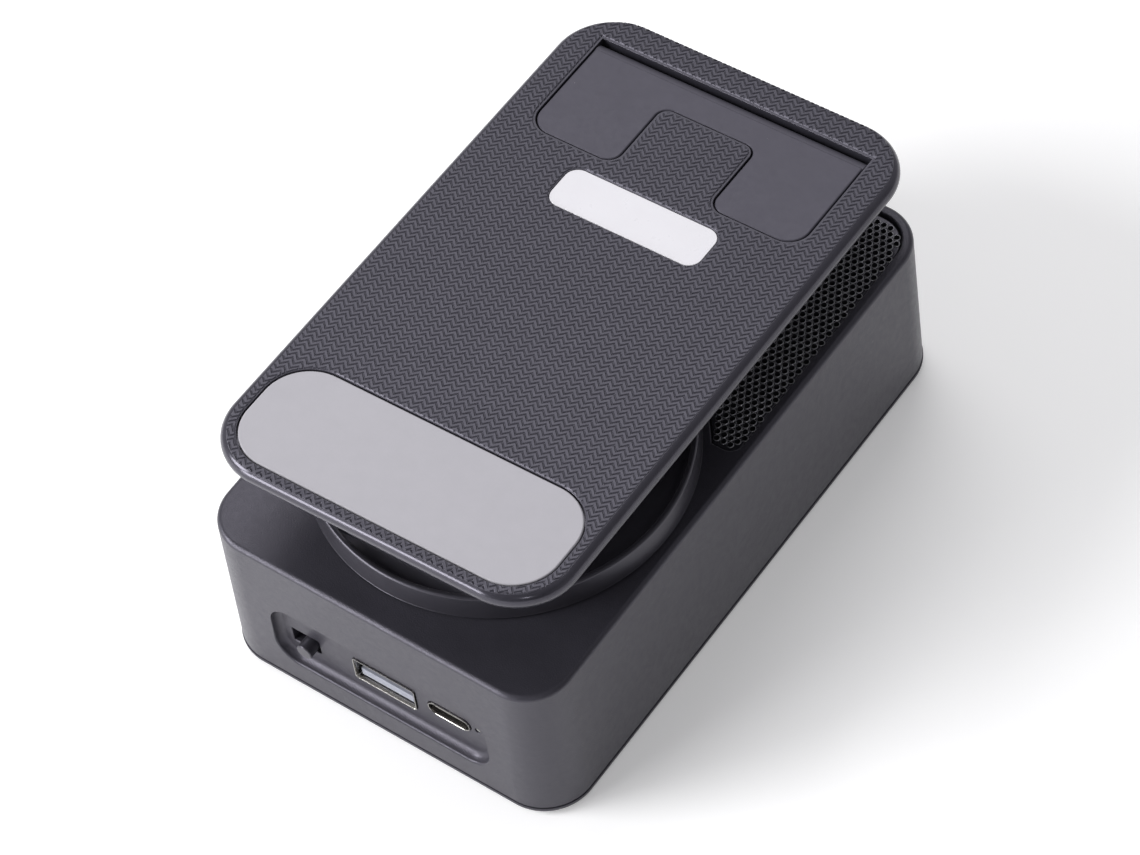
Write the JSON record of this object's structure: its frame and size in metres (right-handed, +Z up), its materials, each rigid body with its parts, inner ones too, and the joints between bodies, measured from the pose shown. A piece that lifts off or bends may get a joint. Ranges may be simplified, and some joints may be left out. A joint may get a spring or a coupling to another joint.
{
  "type": "speaker with phone cradle",
  "caption": "Flat rounded battery speaker box with a perforated grille, a round turntable and a tilting phone cradle with a fold-out rest.",
  "frame": {"origin": "centre of the flat face that the box rests on", "axes": "+X to the right seen from the port face, +Y from the port face towards the far end, +Z up"},
  "size_m": [0.074, 0.1249, 0.0599],
  "materials": {
    "housing_shell": "satin moulded ABS",
    "bottom_cover": "satin moulded ABS",
    "base_mat": "matte",
    "speaker_grille": "glossy perforated",
    "grille_cloth": "fine weave",
    "steel": "zinc plated",
    "driver_frame": "black coat",
    "surround_rubber": "matte",
    "paper_cone": "pressed paper",
    "copper_coil": "enamelled",
    "ferrite": "matte",
    "cell_wrap": "shrink wrap",
    "circuit_board": "solder mask",
    "chip_plastic": "matte",
    "socket_steel": "nickel plated",
    "socket_tongue": "blue-grey",
    "dark_tongue": "matte",
    "switch_plastic": "satin",
    "light_pipe": "clear grey",
    "wire_red": "silicone",
    "nylon": "natural",
    "turntable": "satin",
    "arm": "satin",
    "cradle": "textured face, polished rim",
    "grip_pad": "grey silicone, matte",
    "label_plate": "white",
    "phone_rest": "smooth satin"
  },
  "bodies": {
    "base": {"housing_shell": "housing_shell", "bottom_cover": "bottom_cover", "bottom_screws": "steel", "base_mat": "base_mat", "speaker_grille": "speaker_grille", "grille_cloth": "grille_cloth", "speaker_frame": "driver_frame", "speaker_surround": "surround_rubber", "speaker_cone": "paper_cone", "dust_cap": "paper_cone", "voice_coil": "copper_coil", "magnet_top_plate": "steel", "ring_magnet": "ferrite", "pole_yoke": "steel", "speaker_screws": "steel", "battery_cell": "cell_wrap", "main_board": "circuit_board", "board_screws": "steel", "radio_module": "steel", "amplifier_chip": "chip_plastic", "charger_chip": "chip_plastic", "usb_a_shell": "socket_steel", "usb_a_tongue": "socket_tongue", "usb_c_shell": "socket_steel", "usb_c_tongue": "dark_tongue", "switch_body": "chip_plastic", "status_light": "light_pipe", "battery_lead": "wire_red", "speaker_lead": "wire_red", "thrust_washer": "nylon"},
    "switch": {"switch_knob": "switch_plastic"},
    "turntable": {"turntable_disc": "turntable", "wave_washer": "steel", "retaining_plate": "steel", "retaining_screws": "steel", "lower_bracket": "steel", "lower_bracket_screws": "steel", "lower_hinge_pin": "steel", "lower_hinge_nut": "steel", "lower_friction_washers": "nylon"},
    "arm": {"arm_frame": "arm", "arm_cover": "arm", "arm_screws": "steel"},
    "upper_pin": {"upper_hinge_pin": "steel", "upper_hinge_nut": "steel", "upper_friction_washers": "nylon"},
    "cradle": {"upper_bracket": "steel", "upper_bracket_screws": "steel", "cradle_back": "cradle", "cradle_front": "cradle", "cradle_screws": "steel", "grip_pad": "grip_pad", "label_plate": "label_plate", "phone_rest_pin": "steel"},
    "phone_rest": {"phone_rest": "phone_rest"}
  },
  "joints": [
    {"name": "turntable_spin", "type": "hinge", "parent": "base", "child": "turntable", "pos_m": [0, -0.0196, 0.036], "axis": [0, 0, 1], "continuous": true},
    {"name": "arm_lift", "type": "hinge", "parent": "turntable", "child": "arm", "pos_m": [0.00071, -0.04359, 0.044], "axis": [0.9996, 0.0297, 0], "range_deg": [0, 95]},
    {"name": "upper_pin_turn", "type": "hinge", "parent": "arm", "child": "upper_pin", "pos_m": [-0.00071, 0.00439, 0.044], "axis": [0.9996, 0.0297, 0], "range_deg": [-147.75, 0.5]},
    {"name": "cradle_tilt", "type": "hinge", "parent": "upper_pin", "child": "cradle", "pos_m": [-0.00071, 0.00439, 0.044], "axis": [-0.9996, -0.0297, 0], "range_deg": [-4.5, 5]},
    {"name": "phone_rest_fold", "type": "hinge", "parent": "cradle", "child": "phone_rest", "pos_m": [-0.00218, 0.05392, 0.0487], "axis": [-0.9996, -0.0297, 0], "range_deg": [0, 90]},
    {"name": "switch_slide", "type": "slide", "parent": "base", "child": "switch", "axis": [1, 0, 0], "range_m": [-0.0022, 0]}
  ],
  "couplings": [
    {"joint": "upper_pin_turn", "follows": "arm_lift", "ratio": -1.55}
  ]
}
